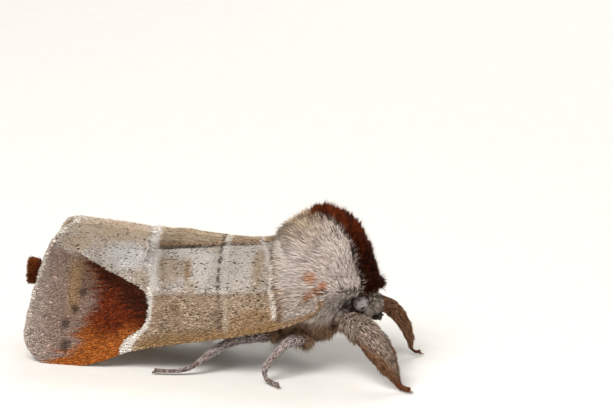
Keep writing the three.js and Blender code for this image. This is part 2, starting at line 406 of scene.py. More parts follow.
# The line, half width and softness in mm, first and last turn, colour, strength.
WING_LINES = [
    ([(0, 1.85), (0.17, 2.11), (0.39, 2.43), (0.54, 2.63), (0.69, 2.73), (0.83, 2.88), (1, 2.9)],
     0.06, 0.09, (0, 0.93), "F4E9DE", 0.85),
    ([(0, 2.05), (0.33, 2.6), (0.52, 2.78), (0.68, 2.93), (0.87, 3.13), (1, 3.2)], 0.04, 0.08, (0.18, 1),
     "5E4230", 0.85),
    (MIDDLE_LINE, 0.1, 0.12, (0, 0.7), "EFE7DF", 0.7),
    (MIDDLE_LINE, 0.06, 0.1, (0.68, 1), "DCCAB6", 0.5),
    (MIDDLE_SHADOW, 0.035, 0.08, (0, 0.66), "4A3626", 0.85),
    (MIDDLE_SHADOW, 0.035, 0.08, (0.68, 0.95), "5E4632", 0.55),
    ([(0, -3.42), (0.36, -3.36), (0.56, -3.22), (0.69, -3.15)], 0.12, 0.22, (0, 0.66), "FAF1E9", 0.9),
    ([(0.5, -3.25), (0.62, -3.25), (0.69, -3.3), (0.78, -3.26), (0.86, -3.33), (0.91, -3.65), (0.94, -4.07),
      (1, -4.36)], 0.1, 0.07, (0.55, 1), "FDF4EA", 1.0),
    ([(0.8, -3.2), (0.89, -3.5), (0.93, -3.95), (0.96, -4.25), (1, -4.4)], 0.24, 0.1, (0.9, 1.02), "FDF3E8",
     1.0),
    ([(0, -2.8), (0.43, -2.85), (0.7, -2.65), (0.8, -2.75), (0.88, -3.1), (1, -3.9)],
     0.05, 0.12, (0.25, 0.9), "7A5F46", 0.35),
    ([(0, -3.75), (0.43, -3.75), (0.6, -3.6)], 0.03, 0.1, (0.12, 0.5), "7A6048", 0.25),
]
# Soft clouds of colour: (mm along the moth, turn) of the middle, (mm, turn) reach, colour, strength.
WING_CLOUDS = [
    ((-5.6, 0.12), (2.4, 0.17), "CEB598", 0.7),
    ((-7.2, 0.3), (0.9, 0.08), "C4A888", 0.6),
    ((-4.6, 0.39), (1.3, 0.13), "F0EBE9", 0.8),
    ((-2.5, 0.48), (0.75, 0.15), "CCAE88", 0.45),
    ((-1.6, 0.33), (1.4, 0.07), "F0E8E2", 0.75),
    ((-0.72, 0.49), (0.6, 0.18), "F6ECE4", 0.75),
    ((-1.52, 0.5), (0.2, 0.12), "A67C4E", 0.65),
    ((0.9, 0.45), (0.9, 0.24), "F8ECE0", 0.55),
    ((1.95, 0.42), (0.32, 0.22), "BC9C70", 0.55),
    ((-1.92, 0.8), (0.16, 0.08), "8E6F4C", 0.45),
    ((0.1, 0.87), (0.2, 0.1), "6E5238", 0.4),
    ((-2.2, 0.86), (0.7, 0.1), "8E7050", 0.3),
    ((2.0, 0.93), (1.5, 0.1), "B3844C", 0.5),
    ((-1.6, 0.98), (2.4, 0.06), "94703F", 0.5),
    ((3.15, 0.87), (0.28, 0.1), "8A5A34", 0.55),
]
# The groove that sets the dorsal lobe off: (mm along the moth, turn).
GROOVE = ([-3.6, -3.0, -2.4, -1.8, -1.0, -0.2, 0.2, 0.9, 1.8, 2.4],
          [0.235, 0.25, 0.25, 0.24, 0.195, 0.145, 0.11, 0.09, 0.065, 0.05])
# The chocolate patch's front edge, and inside it where chocolate gives way to rust and rust to mauve.
PATCH_EDGE = [(0.3, -8.4), (0.37, -7.55), (0.402, -6.98), (0.488, -5.81), (0.578, -4.66), (0.636, -3.86),
              (0.694, -3.46), (0.782, -3.36), (0.862, -3.42), (0.906, -3.82), (0.94, -4.43), (1, -4.65)]
CHOCOLATE_END = [(0.3, -7.7), (0.4, -7.1), (0.5, -6.3), (0.6, -5.5), (0.68, -4.8), (0.76, -4.3),
                 (0.84, -3.8), (1, -3.4)]
WARM_END = [(0.3, -7.5), (0.46, -6.6), (0.57, -6.15), (0.64, -5.9), (0.76, -6.15), (0.84, -6.6),
            (0.92, -7.0), (0.985, -7.8), (1, -8.1)]
# The wing's own outline, before its fringe.
MARGIN_LINE = [(0, -7.05), (0.08, -7.6), (0.2, -8.2), (0.34, -8.62), (0.55, -9.0), (0.75, -9.36),
               (0.88, -9.52), (0.96, -9.28), (1, -8.5)]
ROOT_LINE = [(0, 3.2), (0.5, 4.3), (0.84, 5.12), (0.93, 5.2), (0.98, 5.05), (1, 4.8)]


def wing_markings():
    """Place (along, turn) and tuft (shade, along) make the forewing scales' colour."""
    tree, (spot, _, tuft), result = marking_group("wing_markings")
    add = partial(add_node, tree)
    along_wing, turn, _ = add("parts", spot)
    shade, _, speck_chance = add("parts", tuft)
    times, layers = partial(product, add), partial(layered, add, shade)
    # The place in mm on the flattened wing, for patterns.
    flat = add("vector_multiply", spot, (WING_SPAN, TURN_LENGTH, 3.0))
    wander = add("noise", flat, 2.2, 3.0)
    wobble = add("vector_multiply", add("noise_colour", flat, 3.0, 2.0), (0.4, 0.4, 0))
    flat_ragged = add("vector_add", add("vector_add", flat, wobble), (-0.2, -0.2, 0))
    broken = add("noise", flat, 3.2, 1.0)
    streak = add("noise", add("vector_multiply", flat, (0.35, 4.0, 1.0)), 1.4, 3.0)
    # Along the moth in mm, and with ragged edges.
    x = add("multiply_add", along_wing, WING_SPAN, -WING_SPAN / 2)
    x_ragged = add("add", x, add("multiply_add", wander, 0.28, -0.14))
    x_streaky = add("add", x, add("multiply_add", streak, 3.0, -1.5))
    turn_ragged = add("add", turn, add("multiply_add", wander, 0.08, -0.04))

    def curve_at(points, value):
        """A smooth curve through (0 to 1, 0 to 1) points."""
        curve = add("curve", value)
        held = curve.node.mapping.curves[0].points
        while len(held) < len(points):
            held.new(0.5, 0.5)
        for point, at in zip(held, points):
            point.location = at
        curve.node.mapping.update()
        return curve

    def past(points, at):
        """How far in mm a scale stands in front of a line across the wing."""
        curve = curve_at([(level, mm / WING_SPAN + 0.5) for level, mm in points], turn)
        return add("subtract", at, add("multiply_add", curve, WING_SPAN, -WING_SPAN / 2))

    def gap_to(at, level, scale=(1, 1, 0)):
        """How far a scale stands from a spot of the wing, with ragged edges."""
        gap = add("vector_subtract", flat_ragged, (at + WING_SPAN / 2, TURN_LENGTH * level, 0))
        return add("length", add("vector_multiply", gap, scale))

    # Ground: whitish above the crease and browner below it, with soft clouds.
    lower = add("ramp", turn_ragged, 0.66, 0.71)
    ground = layers(
        add("mix", shade, "B2A094", "FAF0E6"),
        ((add("noise", flat, 0.8, 4.0), 0.46, 0.7), 0.45, "C8AC88"),
        (lower, 0.85, ("9C7E60", "F0D4B6")),
        *[((gap_to(at, level, (1 / wide, 1 / tall / TURN_LENGTH, 0)), 1.3, 0.55), strength, code)
          for (at, level), (wide, tall), code, strength in WING_CLOUDS],
    )
    from_groove = curve_at([(at / WING_SPAN + 0.5, level) for at, level in zip(*GROOVE)], along_wing)
    from_groove = add("subtract", turn, from_groove)
    on_lobe = times((x, -3.5, -3.1), (x, 3.2, 2.4))
    streaks = add("mix", add("ramp", streak, 0.4, 0.6), "9C7E5E", "C8B290")
    # How dark the painted shadow in the groove is: strongest from -3.0 to -1.9 mm along the moth.
    depth = add("add", times((x, -3.3, -3.0), (x, -0.9, -1.9), 0.5), 0.35)
    ground = layers(
        ground,
        # The dorsal lobe next to the ridge, with a reddish line in it, and a painted shadow in the groove
        # below.
        ((from_groove, 0.01, -0.02), on_lobe, 0.8, streaks),
        ((from_groove, -0.07, -0.035), (from_groove, 0.0, -0.015), on_lobe, 0.5, "8A6248"),
        # Painted shadow in the groove below the lobe.
        ((from_groove, -0.025, -0.005), (from_groove, 0.03, 0.01), on_lobe, depth, "5C4A3C"),
        # The crease between the pale and the brown half is a pale line.
        ((turn, 0.66, 0.675), (turn, 0.71, 0.69), (x, 0.1, 0.5), (x, 2.9, 2.7), 0.7, "E2D4C6"),
        # Specks: single dark scales, thick in the brown half and thin in the pale one.
        (add("less_than", speck_chance, add("multiply_add", wander, 0.5, -0.19)), (x, 3.6, 3.0), 0.85,
         "3E2C20"),
        (add("greater_than", speck_chance, 0.68), lower, 0.4, "6A4E34"),
    )
    for points, half, soft, (first, last), code, strength in WING_LINES:
        away = add("absolute", past(points, x_ragged))
        gaps = [(broken, 0.38, 0.52)] if half < FINE_LINE else []
        ground = layers(ground, ((away, half + soft, half), (turn, first - 0.02, first + 0.02),
                                 (turn, last + 0.02, last - 0.02), strength, *gaps, code))
    # Base of the wing: pinkish grey like the thorax, with rusty tufts.
    ground = layers(
        ground,
        ((x_ragged, 2.9, 3.7), 0.85, ("8A7770", "DDD0C8")),
        *[((gap_to(at, level), reach, reach * 0.35), 0.8, "9A6238") for at, level, reach in RUST_TUFTS],
    )
    # The patch: rust, orange towards the costa and the rear, and chocolate in front.
    warm = layers(
        add("mix", shade, "481606", "984320"),
        ((turn_ragged, 0.84, 0.94), ("9A4716", "D0803C")),
        ((x, -5.4, -6.6), (turn_ragged, 0.72, 0.86), 0.6, ("9A4716", "D0803C")),
        ((past(CHOCOLATE_END, x_streaky), -0.45, 0.45), ("2C1209", "5A2A16")),
    )
    off_band = add("absolute", add("subtract", x_ragged, OCHRE_BAND))
    patch = layers(
        # Mauve grey at the margin, umber near the upper corner, and the warm colours in front.
        add("mix", shade, "8E7568", "B3998B"),
        ((x, -7.8, -9.2), ("A8958A", "CEBAAE")),
        ((turn, 0.74, 0.55), (x, -7.7, -6.6), ("70574A", "9C8068")),
        ((past(WARM_END, x_streaky), -0.6, 0.5), warm),
        # Ochre band, the row of dark spots before the margin, and dark dust.
        ((off_band, 0.5, 0.1), (turn, 0.82, 0.7), (turn, 0.38, 0.56), 0.7, "B08C62"),
        *[((gap_to(at, level), reach, reach * 0.35), 0.75, "42312A") for at, level, reach in MARGIN_SPOTS],
        (add("less_than", speck_chance, 0.10), 0.5, "44352E"),
    )
    # Its edge is sharp in front and soft near the upper corner.
    ahead = past(PATCH_EDGE, x_ragged)
    edge = add("mix", add("ramp", x, -6.6, -7.6), add("ramp", ahead, 0.02, -0.05),
               add("ramp", ahead, 0.1, -1.0))
    cream = add("mix", add("ramp", shade, 0.35, 0.6), "A08C7A", "FFF8EC")
    rim = times((turn, 0.94, 0.975), (x, -4.0, -3.4), 0.8)
    hook = times((past(ROOT_LINE, x), -0.3, -0.16), (turn, 0.84, 0.88), 0.8)
    ground = layers(
        ground,
        (edge, (turn, 0.27, 0.4), patch),
        # The fringe is cream, and the costa is an ochre rim that hooks round the wing's root.
        ((past(MARGIN_LINE, x_ragged), 0.32, 0.12), (turn, 1.0, 0.7), 0.9, cream),
        # The rim's ochre is partly darkened as painted shade of the costa's rounded underside.
        (add("maximum", rim, hook), ("7E5C3A", "C09A6C")),
    )
    tree.links.new(ground, result)
    return tree


def coat_material(name, markings, roughness, bump_mm):
    """Hair or scales of dry chitin: matt, with a faint silky gloss, coloured by the markings."""
    made, add, link = new_material(name, **{"Roughness": roughness, "IOR": 1.5, "Specular IOR Level": 0.05})
    notes = [add("note", attribute_name=note_name) for note_name in ("place", "kind", "tuft")]
    link(add("markings", *notes, node_tree=markings), "Base Color")
    if bump_mm:
        # Lying scales are about 0.1 mm across.
        link(add("bump", add("cells", add("place"), 9000.0), 0.5, bump_mm * MM), "Normal")
    return made


# ---- the coat: tapered hairs and flat scales as joined mesh ----

PATCH = 0.003  # size of one tuft's patch on the OFBake map
FLOOR_GAP = 0.01  # mm, so that no hair's tip goes below the floor


def build_coat(name, points, patch, faces, tip_shares, notes, places, material):
    """Joins many tufts of the same build as one mesh, with its notes and its map for baking.

    points holds each tuft's corners, one array for each corner; patch the corners' places on
    the tuft's patch of the map; tip_shares how far each corner is from root (0) to tip (1).
    """
    count, per = len(points[0]), len(points)
    spots = np.stack(points, 1).reshape(-1, 3)
    spots[:, 2] = np.maximum(spots[:, 2], FLOOR_GAP)
    faces = (np.array(faces)[None] + (np.arange(count) * per)[:, None, None]).reshape(-1, 3)
    mesh = bpy.data.meshes.new(name)
    mesh.vertices.add(len(spots))
    set_points(mesh, spots)
    mesh.loops.add(faces.size)
    mesh.loops.foreach_set("vertex_index", faces.astype(np.int32).ravel())
    mesh.polygons.add(len(faces))
    mesh.polygons.foreach_set("loop_start", np.arange(0, faces.size, 3, dtype=np.int32))
    mesh.polygons.foreach_set("use_smooth", np.ones(len(faces), bool))
    mesh.update(calc_edges=True)
    low, high = places.min(0), places.max(0)
    rooted = 2 * PATCH + (1 - 4 * PATCH) * (places - low) / (high - low)
    corners = rooted[:, None] + (np.array(patch)[None] - 0.5) * PATCH
    layer = mesh.uv_layers.new(name="OFBake")
    layer.uv.foreach_set("vector", corners.reshape(-1, 2)[faces.ravel()].astype(np.float32).ravel())
    shade, speck = notes["tuft"]
    reach = np.tile(tip_shares, count)
    note(mesh, "tuft", np.stack([np.repeat(shade, per), reach, np.repeat(speck, per)], 1))
    for key in ("place", "kind"):
        if key in notes:
            note(mesh, key, np.repeat(notes[key], per, 0))
    piece = new_piece(name, mesh)
    mesh.materials.append(material)
    return piece


def laid(flow, out):
    """Directions turned into the surface."""
    return unit(flow - out * (flow * out).sum(1, keepdims=True))


def raised(flow, out, lift):
    """Directions along the surface, raised off it by an angle."""
    return flow * np.cos(lift) + out * np.sin(lift)


def hairs(name, roots, start, end, out, length, width, pull, notes, places, material, flat=0.5):
    """One tapered, bent, three-sided hair for each root, heading from start to end directions."""
    side = unit(np.cross(out, start))
    spine = [roots]
    for step in (1, 2):
        ahead = unit(start * (2.5 - step) + end * (step - 0.5))
        spine.append(spine[-1] + ahead * (length / 2)[:, None])
    spine = [at + pull * (step / 2) ** 2 for step, at in enumerate(spine)]
    points, patch, reach = [], [], []
    for step in (0, 1):
        ahead = unit(spine[step + 1] - spine[max(step - 1, 0)])
        over = np.cross(ahead, side)
        half = (width / 2)[:, None]
        points += [spine[step] + side * half, spine[step] - side * half,
                   spine[step] - over * half * 2 * flat]
        patch += [(1, step / 2), (0, step / 2), (0.5, step / 2 + 0.1)]
        reach += [step / 2] * 3
    points.append(spine[2])
    patch.append((0.5, 1))
    reach.append(1)
    faces = [(0, 1, 2), (3, 6, 4), (4, 6, 5), (5, 6, 3)]
    for a, b in ((0, 1), (1, 2), (2, 0)):
        faces += [(a, 3 + b, b), (a, 3 + a, 3 + b)]
    return build_coat(name, points, patch, faces, reach, notes, places, material)


def flat_scales(name, roots, lie, out, length, width, lift, notes, places, material):
    """One thin kite-shaped scale for each root, ridged along its middle."""
    lie = laid(lie, out)
    side = np.cross(out, lie)
    ahead = raised(lie, out, lift[:, None])
    over = np.cross(ahead, side)
    widest = roots + ahead * (length * 0.62)[:, None]
    points = [
        roots + over * (width * 0.1)[:, None],
        widest + side * (width / 2)[:, None],
        widest - side * (width / 2)[:, None],
        roots + ahead * length[:, None],
    ]
    patch = [(0.5, 0), (1, 0.62), (0, 0.62), (0.5, 1)]
    faces = [(0, 1, 3), (0, 3, 2), (0, 2, 1), (1, 2, 3)]
    return build_coat(name, points, patch, faces, (0, 0.6, 0.6, 1), notes, places, material)


# ---- flesh: one skin inside the coat ----

FLESH = {  # CAD nodes of flesh and how deep the coat is over them, in mm
    "trunk": (("thorax", "crest"), 0.5),
    "head": (("head",), 0.22),
    "abdomen": (("abdomen",), 0.35),
    "tail": (("tail_brush",), 0.2),
}
for side_name in SIDES:
    FLESH["palp_" + side_name] = (("palp_" + side_name,), 0.14)
    FLESH["midleg_" + side_name] = (("leg_mid_" + side_name,), 0.14)
    FLESH["hindleg_" + side_name] = (("leg_hind_" + side_name,), 0.14)
FLESH["foreleg_right"] = (("leg_fore_right",), 0.13)
FLESH["foreleg_left"] = (("leg_fore_left",), 0.16)
# Soft joins between them: start, end and radius, in mm, on the left side where they are paired.
JOINS = [
    ((6.0, 0, 3.9), (6.9, 0, 3.5), 0.6),
    ((2.8, 0, 3.5), (0.6, 0, 3.3), 1.2),
    ((-8.2, 0, 3.75), (-9.2, 0, 3.82), 0.4),
]
PAIRED_JOINS = [
    ((5.7, 0.7, 3.0), (6.7, 1.55, 3.0), 0.36),
    ((4.6, 0.5, 2.1), (4.1, 1.9, 1.9), 0.26),
    ((3.5, 0.5, 2.2), (2.4, 1.25, 1.83), 0.32),
    ((7.1, 0.28, 3.2), (7.5, 0.33, 2.95), 0.13),
]
# The feelers lie in tunnels of the solid thorax, which are filled along these points on both sides.
FEELER_BED = [(7.3, 0.78, 4.28), (6.95, 1.15, 4.42), (6.2, 1.72, 4.25), (5.4, 1.92, 3.9), (4.2, 1.95, 3.42),
              (2.8, 1.98, 2.95)]
FEELER_BED_RADIUS = 0.3
VOXEL = 0.07  # mm, of the skin
TRUNK_VOXEL = 0.2  # mm, coarse enough to close the trunk's cuts
BRUSH_MIDDLE, BRUSH_END = np.array([0, 0, 3.79]), -9.98
LEG_JOINTS = {  # hip, knee, ankle and toe, in mm, with one point more in the left forefoot
    ("fore", -1): [(6.3, -1.35, 3.0), (7.82, -2.32, 2.02), (9.12, -3.0, 0.52), (10.0, -3.35, 0.2)],
    ("fore", 1): [
        (6.2, 1.2, 3.2), (8.2, 2.25, 2.75), (9.25, 2.85, 0.95), (9.4, 3.05, 0.4), (9.9, 3.4, 0.2),
    ],
}
for side_sign in SIDES.values():
    LEG_JOINTS["mid", side_sign] = [
        (4.3, 1.7 * side_sign, 1.9), (3.6, 2.5 * side_sign, 1.8), (2.65, 3.35 * side_sign, 0.5),
        (3.5, 4.35 * side_sign, 0.2),
    ]
    LEG_JOINTS["hind", side_sign] = [
        (2.3, 1.3 * side_sign, 1.82), (0.9, 2.1 * side_sign, 1.65), (-1.1, 3.25 * side_sign, 0.4),
        (-2.9, 3.66 * side_sign, 0.2),
    ]


def bulk_of(name, nodes, depth):
    """A merged copy of some CAD nodes, in mm as units, drawn in by the coat's depth."""
    copies = []
    for node in nodes:
        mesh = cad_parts[node].data.copy()
        mesh.transform(Matrix.Scale(1 / MM, 4))
        copies.append(new_piece("flesh_" + node, mesh))
    if name == "trunk":
        for side in SIDES.values():
            for start, end in zip(FEELER_BED, FEELER_BED[1:]):
                copies.append(join_between(mirror_of(start, side), mirror_of(end, side), FEELER_BED_RADIUS))
    bulk = joined(copies)
    jobs = [partial(bpy.ops.mesh.remove_doubles, threshold=0.001)]
    if name in ("head", "abdomen", "tail"):
        jobs.append(bpy.ops.mesh.convex_hull)
    edit(bulk, *jobs)
    if name == "trunk":
        # The voxels close the cuts between thorax and crest and round the feelers.
        run_modifier(bulk, "REMESH", mode="VOXEL", voxel_size=TRUNK_VOXEL)
        run_modifier(bulk, "SMOOTH", factor=0.5, iterations=4)
    run_modifier(bulk, "DISPLACE", strength=-depth, mid_level=0)
    return bulk


def join_between(start, end, radius):
    """A capsule-like lump of flesh between two points, in mm as units."""
    start, end = Vector(start), Vector(end)
    bpy.ops.mesh.primitive_uv_sphere_add(
        segments=20, ring_count=12, radius=radius, location=(start + end) / 2,
        rotation=(end - start).to_track_quat("Z", "Y").to_euler(),
        scale=(1, 1, 1 + (end - start).length / 2 / radius),
    )
    return bpy.context.object


def mirror_of(point, side):
    return (point[0], point[1] * side, point[2])


def gap_to_eye(spots):
    """How far spots stand from the eyes' middle, seen from the side."""
    return np.linalg.norm((spots - EYE_CENTRE) * (1, 0, 1), axis=1)


def make_skin(material):
    parts = [bulk_of(name, nodes, depth) for name, (nodes, depth) in FLESH.items()]
    parts += [join_between(*join) for join in JOINS]
    for start, end, radius in PAIRED_JOINS:
        for side in SIDES.values():
            parts.append(join_between(mirror_of(start, side), mirror_of(end, side), radius))
    skin = joined(parts)
    bpy.ops.object.transform_apply(location=True, rotation=True, scale=True)
    skin.name = "skin"
    skin.data.remesh_voxel_size = VOXEL
    bpy.ops.object.voxel_remesh()
    run_modifier(skin, "SMOOTH", factor=0.5, iterations=8)
    run_modifier(skin, "TRIANGULATE")
    skin.data.transform(Matrix.Scale(MM, 4))
    # Hollows for the eyes.
    spots = points_of(skin.data)
    gap = gap_to_eye(spots)
    most = 0.7 + 1.6 * np.maximum(gap - 0.36, 0) + 9 * np.maximum(gap - 0.56, 0)
    spots[:, 1] = np.clip(spots[:, 1], -most, most)
    # The right foreleg is held a little further ahead, closer to the head.
    at_leg = (spots[:, 1] < -1.2) * smooth_step(6.5, 7.1, spots[:, 0])
    at_leg = at_leg * smooth_step(9.4, 8.4, spots[:, 0])
    spots += at_leg[:, None] * (0.13, 0, 0.08)
    # The back of the thorax slopes down to the wings.
    slope = 0.9 * (spots[:, 0] - 3.5) - (spots[:, 2] - 7.35)
    too_high = np.minimum(slope, 0) * smooth_step(5.2, 4.4, spots[:, 0])
    too_high = too_high * smooth_step(6.0, 6.6, spots[:, 2])
    spots += np.stack([-0.35 * too_high, 0 * too_high, 0.45 * too_high], 1)
    # The brush's flesh is rounded off well inside its hair.
    shrink = np.sqrt(1 - np.clip((-9.0 - spots[:, :1]) / 0.6, 0, 0.98) ** 2)
    spots = BRUSH_MIDDLE + (spots - BRUSH_MIDDLE) * np.hstack([np.ones_like(shrink), shrink, shrink])
    spots[:, 0] = np.maximum(spots[:, 0], -9.6)
    set_points(skin.data, spots)
    activate(skin)
    bpy.ops.object.shade_smooth()
    edit(skin, partial(bpy.ops.uv.smart_project, angle_limit=math.radians(66), island_margin=0.001))
    spots = points_of(skin.data)
    note(skin.data, "place", spots)
    note(skin.data, "kind", kinds_at(spots))
    # The skin takes the colour of a dark hair's root, a painted shade that shows between the hairs.
    note(skin.data, "tuft", np.tile((0.1, 0.0, 0.5), (len(spots), 1)))
    nodes = [node for group, _ in FLESH.values() for node in group]
    finish_piece(skin, nodes, material)
    return skin


def node_tree_of_flesh():
    """One search tree over all CAD nodes of flesh, and the node of each of its faces."""
    corners, faces, owners = [], [], []
    for group, _ in FLESH.values():
        for node in group:
            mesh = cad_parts[node].data
            mesh.calc_loop_triangles()
            start = len(corners)
            corners += [tuple(v.co / MM) for v in mesh.vertices]
            for triangle in mesh.loop_triangles:
                faces.append(tuple(start + i for i in triangle.vertices))
                owners.append(node)
    return BVHTree.FromPolygons(corners, faces), owners


flesh_tree, flesh_owners = node_tree_of_flesh()
CREST_WIDTH = along([4.0, 4.8, 5.8, 6.8, 7.8, 8.2], [1.15, 1.35, 1.28, 1.05, 0.75, 0.6])


def crest_share(spots):
    """1 in the band of chestnut hair over the thorax, 0 outside it."""
    x, y, z = spots.T
    forehead = 0.9 * smooth_step(6.95, 7.3, x) * smooth_step(5.5, 4.7, z)
    across = smooth_step(0.1, -0.1, np.abs(y) - CREST_WIDTH(z) - forehead)
    low = 3.95 + 0.4 * smooth_step(0.35, 0.75, np.abs(y))
    return (across * smooth_step(4.0, 4.3, x) * smooth_step(-0.05, 0.05, z - low)
            * smooth_step(6.0, 6.1, x + np.maximum(z - 5, 0)))


def owners_at(spots):
    return np.array([flesh_owners[flesh_tree.find_nearest(spot)[2]] for spot in spots.tolist()])


def kinds_at(spots):
    """Crest, leg and belly shares of the flesh at each spot."""
    owners = owners_at(spots)
    trunk = np.isin(owners, ("thorax", "crest"))
    crest = np.where(trunk, crest_share(spots), owners == "tail_brush")
    leg = np.char.startswith(owners, "leg")
    return np.stack([crest, leg, owners == "abdomen"], 1).astype(float)


class Surface:
    """A triangle mesh that tufts grow on, in mm."""

    def __init__(self, mesh):
        self.spots = points_of(mesh)
        corners = np.zeros(len(mesh.loops), np.int32)
        mesh.loops.foreach_get("vertex_index", corners)
        self.faces = corners.reshape(-1, 3)
        layer = np.zeros(len(mesh.loops) * 2, np.float32)
        mesh.uv_layers[0].uv.foreach_get("vector", layer)
        self.map = layer.reshape(-1, 3, 2)
        normals = np.zeros(len(mesh.vertices) * 3, np.float32)
        mesh.vertex_normals.foreach_get("vector", normals)
        self.normals = normals.reshape(-1, 3).astype(float)
        a, b, c = (self.spots[self.faces[:, i]] for i in range(3))
        self.area = np.linalg.norm(np.cross(b - a, c - a), axis=1) / 2
        self.middles = (a + b + c) / 3
        self.owners = owners_at(self.middles)
        self.eye_gap = gap_to_eye(self.middles)
        self.at_eye = (np.abs(self.middles[:, 1]) > 0.5) * (self.eye_gap < 0.41)

    def scatter(self, weights, count):
        """Random places by area and weight: spots, outward directions and places on the map."""
        odds = self.area * weights
        chosen = rng.choice(len(odds), count, p=odds / odds.sum())
        parts = rng.dirichlet((1, 1, 1), count)
        mixed_at = lambda values: (values * parts[:, :, None]).sum(1)
        out = unit(mixed_at(self.normals[self.faces[chosen]]))
        return mixed_at(self.spots[self.faces[chosen]]), out, mixed_at(self.map[chosen].astype(float))


def ripple(spots, size):
    """A smooth random wobble in about -1..1 along each axis, size mm from swell to swell."""
    waves = unit(rng.normal(size=(9, 3))) * 2 * math.pi / size
    phases = rng.uniform(0, 2 * math.pi, (9, 3))
    angles = (spots @ waves.T)[:, :, None] + phases[None]
    return np.sin(angles).sum(1) / 3.2


def nearest_of(spots, middles):
    """For each spot, which of the middles is nearest."""
    tree = KDTree(len(middles))
    for number, middle in enumerate(middles.tolist()):
        tree.insert(middle, number)
    tree.balance()
    return np.array([tree.find(spot)[1] for spot in spots.tolist()])


def leg_direction(kind):
    """Along the leg towards its toe, at the nearest of its stretches."""
    def lie(spots, out):
        best, direction = np.full(len(spots), 1e9), np.zeros_like(spots)
        for side in SIDES.values():
            joints = np.array(LEG_JOINTS[kind, side])
            for start, end in zip(joints[:-1], joints[1:]):
                run = end - start
                share = np.clip((spots - start) @ run / (run @ run), 0, 1)
                gap = np.linalg.norm(spots - start - share[:, None] * run, axis=1)
                closer = gap < best
                best[closer] = gap[closer]
                direction[closer] = run
        return unit(direction)
    return lie


def toward(*direction):
    return lambda spots, out: np.tile(direction, (len(spots), 1)).astype(float)


def from_neck(spots, out):
    """Hair stands up at the collar and near the crest, and lies back over the sides."""
    x, _, z = spots.T
    collar = smooth_step(5.0, 6.9, x) * smooth_step(3.3, 4.7, z)
    rise = (0.25 + 1.6 * smooth_step(6.3, 7.7, z) * smooth_step(3.2, 4.8, x) + 1.2 * collar
            - 0.9 * smooth_step(4.5, 3.2, z))
    return np.stack([-np.ones(len(x)) + 0.3 * collar, np.zeros(len(x)), rise], 1)


def over_face(spots, out):
    """Down over the face, back behind the eyes and over the top of the head."""
    x, y, z = spots.T
    ahead = np.where(x > FACE_FRONT, 0.25, -1.0)
    rise = np.where(x > FACE_FRONT, -1.0, np.where(z > 3.6, 0.4, -0.3))
    return np.stack([ahead, 0.3 * y, rise], 1)


def from_eye(spots, out):
    """Away from the eye all round it."""
    return (spots - EYE_CENTRE) * (1, 0, 1) + (-0.1, 0, 0)


def up_crest(spots, out):
    """Up and a little back, but forwards and down at the crest's low end."""
    _, y, z = spots.T
    rise = np.clip((z - 4.9) / 0.5, -1, 1)
    return np.stack([0.45 - 0.55 * np.maximum(rise, 0), 0.3 * y, rise], 1)


def to_brush_end(spots, out):
    """Hairs of the tail brush spread and end nearly level with each other."""
    spoke = (spots - BRUSH_MIDDLE) * (0, 1, 1)
    reach = np.linalg.norm(spoke, axis=1, keepdims=True)
    goal = BRUSH_MIDDLE + spoke / np.maximum(reach, 1e-6) * 0.9 * np.minimum(reach / 0.6, 1)
    goal += rng.normal(scale=0.05, size=goal.shape) * (0, 1, 1)
    ends = BRUSH_END + rng.uniform(0, 1, len(spots)) ** 2 * 0.5
    goal[:, 0] = ends + 0.06 * ripple(goal, 0.35)[:, 0].clip(0, 1)
    return goal - spots


def past_wing_root(spots):
    """How far in mm the trunk reaches in front of a forewing's root, below 0 under the wing."""
    x, y, z = spots.T
    low = COSTA_HEIGHT(x)
    up = np.clip((z - low) / (RIDGE_HEIGHT(x) - low), 0, 1) ** (1 / ROOF_POWER)
    out = np.clip(np.abs(y) / ROOF_HALF_WIDTH(x), 0, 1) ** (1 / ROOF_POWER)
    turn = np.arctan2(out, up) * 2 / math.pi
    return np.where(z > low, x - WING_ROOT(turn), 9)


def grow(skin, material, name, slot, weights, count, length, width, lie, lift=0.5, bend=0.35,
         spread=0.16, per_lock=8, gather=0.25, sink=0.04, lock_tone=0.3, straight=False):
    """Grows one coat piece on the skin.

    lie gives directions at spots, lift is the angle off the skin at the root and bend how much of
    it is lost towards the tip, in radians; per_lock hairs lean together by gather, and lock_tone
    is how much of a hair's shade is its lock's.
    """
    roots, out, places = skin.scatter(weights, count)
    flow = lie(roots, out)
    if straight:
        start = end = unit(flow)
        lengths = np.linalg.norm(flow, axis=1)
    else:
        flow = unit(flow) + ripple(roots, 0.9) * spread
        flow = flow + rng.normal(scale=spread * 0.7, size=roots.shape)
        flow = laid(flow, out)
        lengths = (length(roots) if callable(length) else length) * rng.uniform(0.65, 1.12, count)
        lifts = (lift(roots) if callable(lift) else lift) + rng.normal(scale=0.13, size=count)
        lifts = (lifts + ripple(roots, 0.7)[:, 0] * 0.12)[:, None]
        start, end = raised(flow, out, lifts), raised(flow, out, lifts - bend)
    widths = width * rng.uniform(0.75, 1.25, count)
    roots = roots - out * sink
    tips = roots + (start + end) / 2 * lengths[:, None]
    middles = rng.choice(count, count // per_lock, replace=False)
    lock = middles[nearest_of(roots, roots[middles])]
    pull = np.zeros_like(roots) if straight else (tips[lock] - tips) * gather
    lock_shade = rng.uniform(0, 1, count)[lock]
    shade = np.clip(lock_tone * lock_shade + (1 - lock_tone) * rng.beta(1.3, 1.2, count), 0, 1)
    notes = {"place": roots, "kind": kinds_at(roots), "tuft": (shade, rng.uniform(0, 1, count))}
    piece = hairs(name, roots, start, end, out, lengths, widths, pull, notes, places, material)
    finish_piece(piece)


def thorax_length(spots):
    x, y, z = spots.T
    at_root = bell(past_wing_root(spots) - 0.1, 0.4)
    at_crest = bell(np.abs(y) - CREST_WIDTH(z), 0.35) * smooth_step(5, 6, x)
    over_hook = np.exp(-((x - 5.6) / 0.5) ** 2 - ((z - 3.8) / 0.4) ** 2)
    return 0.68 + 0.3 * at_root - 0.25 * at_crest - 0.28 * over_hook


